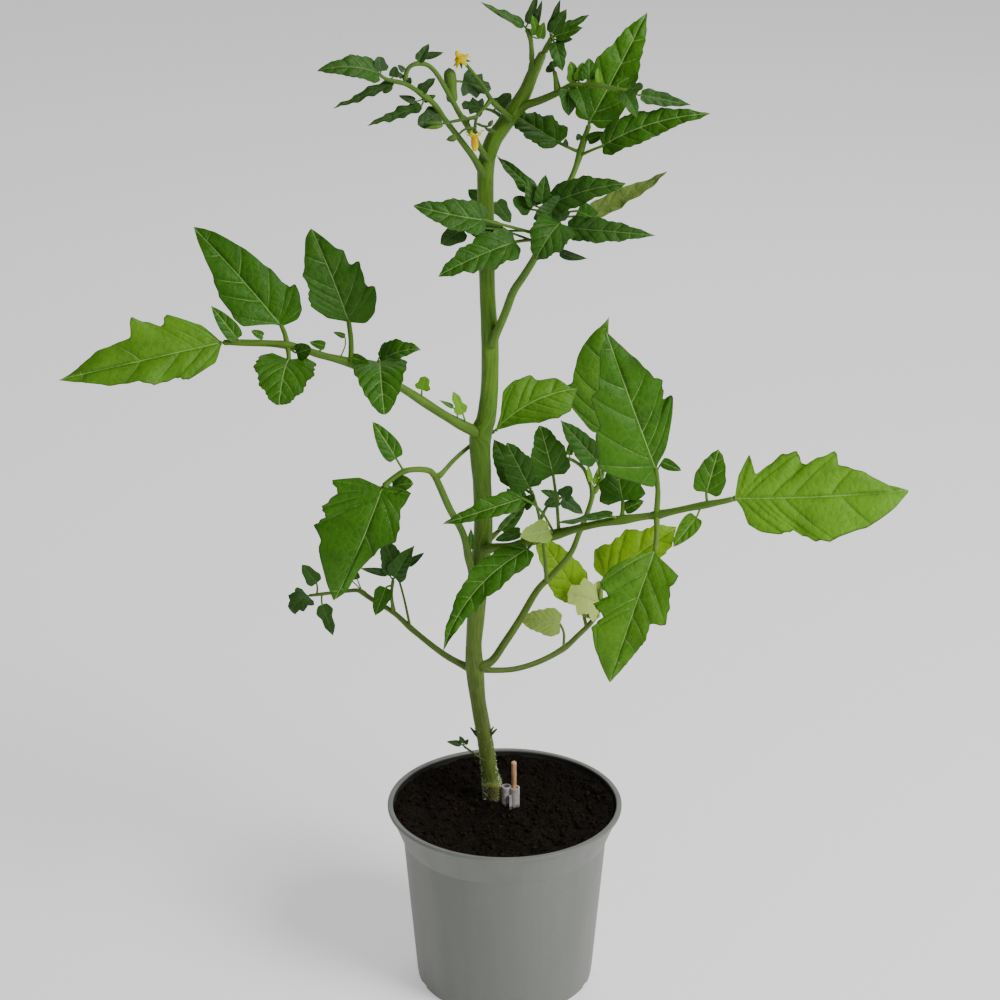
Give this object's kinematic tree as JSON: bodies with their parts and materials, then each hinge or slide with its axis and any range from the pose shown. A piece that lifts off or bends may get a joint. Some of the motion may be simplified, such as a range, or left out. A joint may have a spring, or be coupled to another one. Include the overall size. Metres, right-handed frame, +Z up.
{
  "type": "tomato plant in a pot",
  "caption": "Young grafted tomato plant with a few long leaves, small yellow flowers and a grey nursery pot filled with dark soil.",
  "frame": {"origin": "middle of the pot's underside, at the height of the surface that it stands on", "axes": "+Z up along the pot's axis and the stem, +Y towards the back, so that the broad spread of the leaves lies along X"},
  "size_m": [0.4292, 0.1404, 0.5571],
  "materials": {
    "pot_plastic": "satin",
    "soil": "matte",
    "stem_green": "satin",
    "leaf_green": "satin",
    "leaf_pale": "satin",
    "leaf_yellow": "satin",
    "petal_yellow": "satin",
    "clip_silicone": "satin",
    "stick_wood": "matte"
  },
  "bodies": {
    "root": {"pot": "pot_plastic", "soil": "soil", "main_stem": "stem_green", "graft_clip": "clip_silicone", "graft_stick": "stick_wood", "leaf_upper_left": "leaf_green", "leaf_middle_left": "leaf_green", "leaf_lower_left": "leaf_green", "leaf_right_front": "leaf_green", "leaf_right_rising": "leaf_green", "leaf_centre_small": "leaf_green", "leaf_upper_right": "leaf_green", "leaf_behind_stem": "leaf_green", "leaf_behind_truss": "leaf_green", "leaf_lower_back": "leaf_pale", "yellow_leaflet_1": "leaf_yellow", "yellow_leaflet_2": "leaf_yellow", "shoot_upper_left": "leaf_green", "shoot_right_top": "leaf_green", "shoot_tip_left": "leaf_green", "shoot_tip_right": "leaf_green", "base_sprout": "leaf_green", "flower_truss": "stem_green", "flower_upper": "petal_yellow", "flower_lower": "petal_yellow"}
  },
  "joints": []
}
